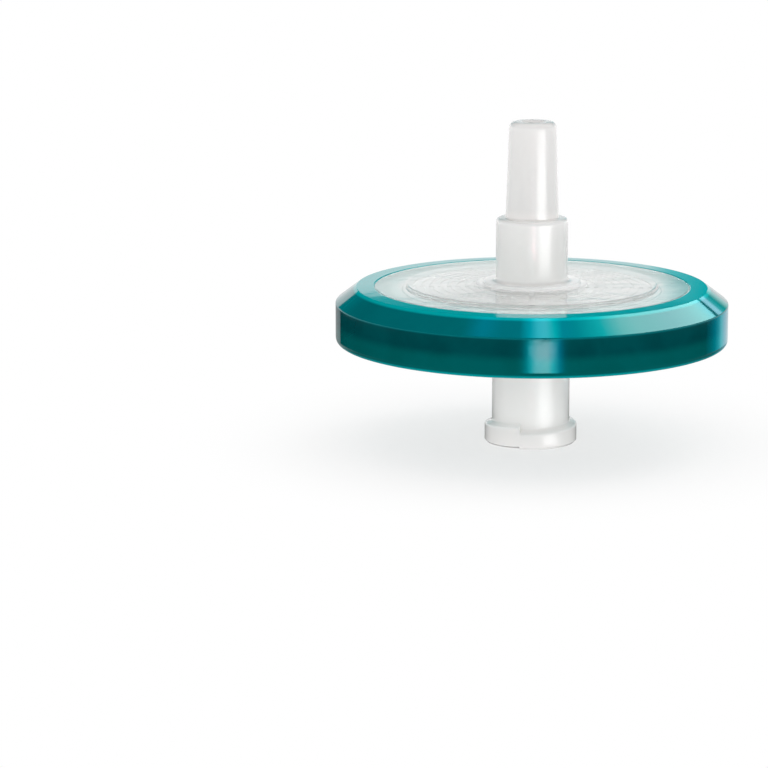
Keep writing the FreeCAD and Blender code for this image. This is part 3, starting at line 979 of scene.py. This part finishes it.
def glow_material(name, strength, stops):
    """Light graded along a card."""
    material, nodes, output = new_material(name)
    across = nodes.add("ShaderNodeTexCoord").outputs["UV"]
    along = nodes.add("ShaderNodeSeparateXYZ", {"Vector": across}).outputs["X"]
    grade = nodes.add("ShaderNodeValToRGB", {"Fac": along})
    first, last = stops[0][0], stops[-1][0]
    elements = grade.color_ramp.elements
    elements[0].color = (*stops[0][1], 1)
    elements[1].color = (*stops[-1][1], 1)
    for angle, colour in stops[1:-1]:
        elements.new((angle - first) / (last - first)).color = (*colour, 1)
    glow = nodes.add("ShaderNodeEmission", {"Color": grade.outputs["Color"], "Strength": strength})
    nodes.join(glow.outputs[0], output.inputs["Surface"])
    return material


def card_mesh(name, first, last, place_pair):
    """A strip through a pair of points for each angle; its U runs from 0 to 1."""
    mesh = bpy.data.meshes.new(name)
    shape = bmesh.new()
    across = shape.loops.layers.uv.new("across")
    shares = [step / CARD_STEPS for step in range(CARD_STEPS + 1)]
    pairs = []
    for share in shares:
        angle = first + (last - first) * share
        pairs.append([shape.verts.new(place) for place in place_pair(angle)])
    for index in range(CARD_STEPS):
        before, after = pairs[index], pairs[index + 1]
        face = shape.faces.new((before[0], before[1], after[1], after[0]))
        for loop, step in zip(face.loops, (index, index, index + 1, index + 1)):
            loop[across].uv = (shares[step], 0.5)
    shape.to_mesh(mesh)
    shape.free()
    return mesh


def card(name, strength, stops, place_pair):
    """A strip that only reflections see."""
    mesh = card_mesh(name, stops[0][0], stops[-1][0], place_pair)
    strip = bpy.data.objects.new(name, mesh)
    bpy.context.scene.collection.objects.link(strip)
    mesh.materials.append(glow_material(name, strength, stops))
    strip.visible_camera = False
    strip.visible_diffuse = False
    strip.visible_transmission = False
    strip.visible_shadow = False
    strip.visible_volume_scatter = False
    return strip


def wall_card(name, strength, stops, lift):
    """A card on the floor, seen in the ring's wall from its foot to its top."""
    def pair(angle):
        low = floor_seen(angle, RING, RING_BOTTOM, lift)
        return low, floor_seen(angle, RING, RING_WALL_TOP, lift)

    card(name, strength, stops, pair)


def patch_card(name, strength, stops):
    """An egg-shaped card in the ring's wall."""
    first, last = stops[0][0], stops[-1][0]
    middle = (PATCH_LOW + PATCH_HIGH) / 2

    def pair(angle):
        share = (angle - first) / (last - first)
        reach = (PATCH_HIGH - PATCH_LOW) / 2 * math.sqrt(max(4 * share * (1 - share), PATCH_TIP))
        low = floor_seen(angle, RING, middle - reach, PATCH_LIFT)
        return low, floor_seen(angle, RING, middle + reach, PATCH_LIFT)

    card(name, strength, stops, pair)


def chamfer_card(name, width, last_width, strength, stops):
    """A card in the air, seen in the ring's chamfer; its half width changes along it."""
    first, last = stops[0][0], stops[-1][0]

    def pair(angle):
        here = chamfer_direction(angle)
        there = chamfer_direction(angle + ANGLE_STEP)
        half = width + (last_width - width) * (angle - first) / (last - first)
        side = here.cross(there - here).normalized() * half
        return (here - side) * SKY, (here + side) * SKY

    return card(name, strength, stops, pair)


def chamfer_reflections(ring):
    """The blue glint, the streak, the long pale sheet and the bright end of the chamfer."""
    glint = chamfer_card("chamfer_glint", 0.1, 0.1, 2.2, [
        (-20, BLACK), (-14, (0.0, 0.55, 1.0)), (-8, (0.0, 0.30, 0.45)), (-3, (0.0, 0.33, 0.47)),
    ])
    streak = chamfer_card("chamfer_streak", 0.1, 0.1, 8.4, [
        (-3, (0.0, 0.12, 0.17)), (0, (0.0, 0.52, 0.65)), (2, (0.25, 0.84, 0.97)),
        (4, (0.37, 0.88, 1.0)), (6.5, (0.0, 0.70, 0.70)), (9, (0.0, 0.24, 0.34)),
    ])
    sheet = chamfer_card("chamfer_sheet", 0.2, 0.03, 8.4, [
        (9, (0.0, 0.24, 0.34)), (13, (0.0, 0.27, 0.31)), (21, (0.03, 0.63, 0.60)),
        (27, (0.75, 0.80, 0.72)), (32, (0.90, 0.83, 0.76)), (45, (0.64, 0.66, 0.64)),
        (60, (0.35, 0.55, 0.53)), (66, (0.19, 0.45, 0.49)),
    ])
    end = chamfer_card("chamfer_end", 0.03, 0.03, 2.8, [
        (68, (0.50, 0.85, 1.0)), (71, (0.50, 0.85, 1.0)), (73, (0.06, 0.42, 0.44)),
        (77, (0.0, 0.22, 0.20)), (82, (0.25, 0.40, 0.38)), (86, (0.35, 0.42, 0.42)),
    ])
    # only the ring mirrors these, so they leave no glare on the window
    group = light_group("ring", [ring])
    for strip in (glint, streak, sheet, end):
        strip.light_linking.receiver_collection = group


def wall_reflections():
    """The streak on the ring's wall, the dark on both sides of it and the bright end."""
    wall_card("wall_flag_left", 0.0, [(-74, BLACK), (-4, BLACK)], FLAG_LIFT)
    wall_card("wall_flag_right", 0.0, [(10.5, BLACK), (62, BLACK)], FLAG_LIFT)
    wall_card("wall_streak", 20.0, [
        (-4, BLACK), (-2.6, (0.0, 0.03, 0.035)), (-1.3, (0.0, 0.13, 0.16)), (0, (0.05, 0.33, 0.36)),
        (1.5, (0.75, 0.46, 0.48)), (4.5, (0.90, 0.48, 0.48)), (6, (0.12, 0.39, 0.42)),
        (8, (0.0, 0.10, 0.17)), (9.2, (0.0, 0.025, 0.04)), (10.5, BLACK),
    ], GLOW_LIFT)
    patch_card("wall_patch", 30.0, [
        (-1, (0.05, 0.24, 0.26)), (0, (0.28, 0.26, 0.29)), (2, (0.90, 0.31, 0.32)),
        (4.3, (1.0, 0.31, 0.32)), (6, (0.50, 0.25, 0.29)), (7.5, (0.03, 0.15, 0.20)),
    ])
    wall_card("wall_end", 1.65, [
        (60, (0.0, 0.05, 0.08)), (66, (0.0, 0.40, 0.55)), (69, (0.06, 0.65, 0.80)),
        (71.5, (0.25, 0.88, 1.0)), (75, (0.42, 0.72, 0.86)), (80, (0.50, 0.60, 0.65)),
        (90, (0.44, 0.45, 0.48)),
    ], GLOW_LIFT)


def foot_reflection():
    """A pale edge under the right end of the ring."""
    def pair(angle):
        near = floor_seen(angle, RING, RING_BOTTOM, FLAG_LIFT, FOOT_TILT)
        return near, floor_seen(angle, RING, RING_BOTTOM + FOOT_HEIGHT, FLAG_LIFT, FOOT_TOP_TILT)

    card("rim_end", 1.0, [
        (62.5, (0.0, 0.25, 0.30)), (72, (0.30, 0.55, 0.65)), (88, (0.50, 0.62, 0.68)),
    ], pair)


LIP_FLAG_LOW = 7.5          # elevations of the flag's edges, in degrees
LIP_FLAG_HIGH = 12.5


def lip_flag():
    """Haze instead of the white horizon at the lip's right end; its stops are azimuths."""
    def pair(azimuth):
        low = direction(azimuth, LIP_FLAG_LOW) * SKY
        return low, direction(azimuth, LIP_FLAG_HIGH) * SKY

    card("lip_flag", 1.0, [
        (3.0, (0.85, 0.95, 0.95)), (3.6, (0.20, 0.62, 0.65)), (4.6, (0.0, 0.40, 0.43)), (9, HAZE[:3]),
    ], pair)


# ---------------------------------------------------------------- the scene

shells, ring = filter_pieces()
floor()
world()
lights()
chamfer_reflections(ring)
wall_reflections()
foot_reflection()
hub_reflections(shells)
lip_flag()
camera()

scene = bpy.context.scene
scene.view_settings.view_transform = "Standard"
scene.cycles.use_denoising = True
